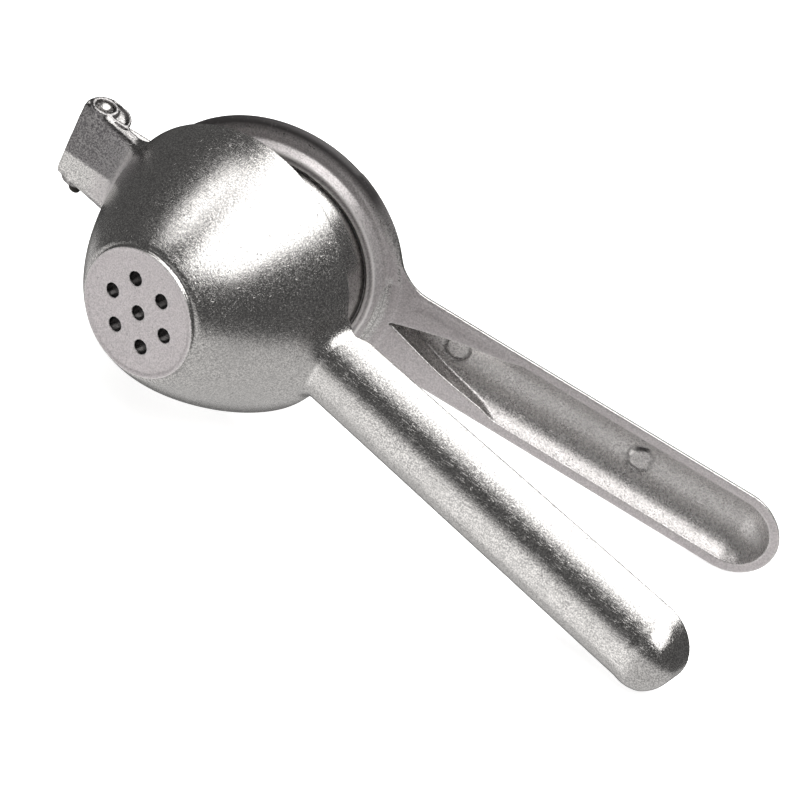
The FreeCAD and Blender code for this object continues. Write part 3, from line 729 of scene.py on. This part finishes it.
# ---------------------------------------------------------------- stage
floor_mesh = bpy.data.meshes.new("floor")
R_ = 6.0
floor_mesh.from_pydata([(-R_, -R_, 0), (R_, -R_, 0), (R_, R_, 0), (-R_, R_, 0)], [], [(0, 1, 2, 3)])
floor = bpy.data.objects.new("floor", floor_mesh)
bpy.context.scene.collection.objects.link(floor)
floor.visible_glossy = False
fm = bpy.data.materials.new("floor_white")
fm.use_nodes = True
N = Nodes(fm.node_tree)
out = N.add("ShaderNodeOutputMaterial")
bs = N.add("ShaderNodeBsdfPrincipled")
bs.inputs["Base Color"].default_value = (0.85, 0.85, 0.85, 1)
bs.inputs["Roughness"].default_value = 1.0
bs.inputs["Specular IOR Level"].default_value = 0.0
bs.inputs["Emission Color"].default_value = (1, 1, 1, 1)
bs.inputs["Emission Strength"].default_value = 0.78
N.link(bs.outputs[0], out.inputs[0])
floor_mesh.materials.append(fm)


def area(name, loc, target, size, watts, glossy=True, colour=(1, 1, 1)):
    l = bpy.data.lights.new(name, "AREA")
    l.shape = "RECTANGLE"
    l.size, l.size_y = size
    l.energy = watts
    l.color = colour
    o = bpy.data.objects.new(name, l)
    bpy.context.scene.collection.objects.link(o)
    o.location = loc
    d = Vector(target) - Vector(loc)
    o.rotation_euler = d.to_track_quat("-Z", "Y").to_euler()
    o.visible_glossy = glossy
    o.visible_camera = False
    return o


area("fill", (0.1, 0.2, 1.2), (0, 0, 0), (1.2, 1.2), 5.0, glossy=False)

# surroundings seen in the metal: a white table below, a dim room above, soft boxes
world = bpy.data.worlds.new("studio")
bpy.context.scene.world = world
world.use_nodes = True
N = Nodes(world.node_tree)
wo = N.add("ShaderNodeOutputWorld")
TABLE_UP, TABLE_EDGE, DARK, BRIGHT = (72.9, 69.6), -0.33, 0.10, 0.62
PANELS = [(43.3, 68.9, -21.7, 1.21, 0.50, 2.5, 0.10), (-154.0, 66.0, -118.3, 0.16, 0.30, 2.1, 0.10), (-110.9, -25.7, -199.8, 0.14, 0.83, 0.7, 0.1)]
dirv = N.add("ShaderNodeTexCoord").outputs["Generated"]


def along(vec):
    n = N.add("ShaderNodeVectorMath", operation="DOT_PRODUCT")
    N.link(dirv, n.inputs[0])
    n.inputs[1].default_value = tuple(float(x) for x in vec)
    return n.outputs["Value"]


def heading(az, el):
    az, el = math.radians(az), math.radians(el)
    return np.array([math.cos(el) * math.cos(az), math.cos(el) * math.sin(az), math.sin(el)])


table = N.ramp(along(heading(*TABLE_UP)), TABLE_EDGE + 0.03, TABLE_EDGE - 0.03)
light = N.ramp(table, 0.0, 1.0, DARK, BRIGHT, smooth=False)
for az, el, roll, h1, h2, power, soft in PANELS:
    c = heading(az, el)
    e1 = np.array([-math.sin(math.radians(az)), math.cos(math.radians(az)), 0.0])
    e2 = np.cross(c, e1)
    cr, sr = math.cos(math.radians(roll)), math.sin(math.radians(roll))
    front = along(c)
    safe = N.math("MAXIMUM", front, 0.02)
    mask = N.ramp(front, 0.02, 0.1)
    for axis, half in ((cr * e1 + sr * e2, h1), (-sr * e1 + cr * e2, h2)):
        t_ = N.math("DIVIDE", N.math("ABSOLUTE", along(axis)), safe)
        mask = N.math("MULTIPLY", mask, N.ramp(t_, half + soft, half - soft))
    light = N.math("ADD", light, N.math("MULTIPLY", mask, power))
far = N.ramp(along((-0.4026, 0.7351, -0.5455)), 0.86, 0.95, 1.0, 0.25)
light = N.math("MULTIPLY", light, far)
bgl = N.add("ShaderNodeBackground")
N.link(light, bgl.inputs["Strength"])
bgl.inputs["Color"].default_value = (1.0, 0.99, 0.98, 1)
bgc = N.add("ShaderNodeBackground")
bgc.inputs["Color"].default_value = (1, 1, 1, 1)
bgc.inputs["Strength"].default_value = 1.0
ms = N.add("ShaderNodeMixShader")
lp = N.add("ShaderNodeLightPath")
N.link(lp.outputs["Is Camera Ray"], ms.inputs[0])
N.link(bgl.outputs[0], ms.inputs[1])
N.link(bgc.outputs[0], ms.inputs[2])
N.link(ms.outputs[0], wo.inputs[0])

# camera
cam = bpy.data.cameras.new("camera")
cam.sensor_width = 36.0
cam.lens = 164.668
cam.clip_start, cam.clip_end = 0.05, 50.0
camo = bpy.data.objects.new("camera", cam)
bpy.context.scene.collection.objects.link(camo)
rows = ((0.7744551220435781, 0.5912270697599129, 0.2250995636569585),
        (-0.48799084120446, 0.3318588681913628, 0.8073008258975075),
        (0.40259682040021516, -0.7350647855471711, 0.5455231970252117))
mw = Matrix(rows).transposed().to_4x4()
mw.translation = Vector((0.37886192, -0.68517709, 0.53095773))
camo.matrix_world = mw
bpy.context.scene.camera = camo
bpy.context.scene.view_settings.view_transform = "Standard"
bpy.context.scene.view_settings.look = "None"
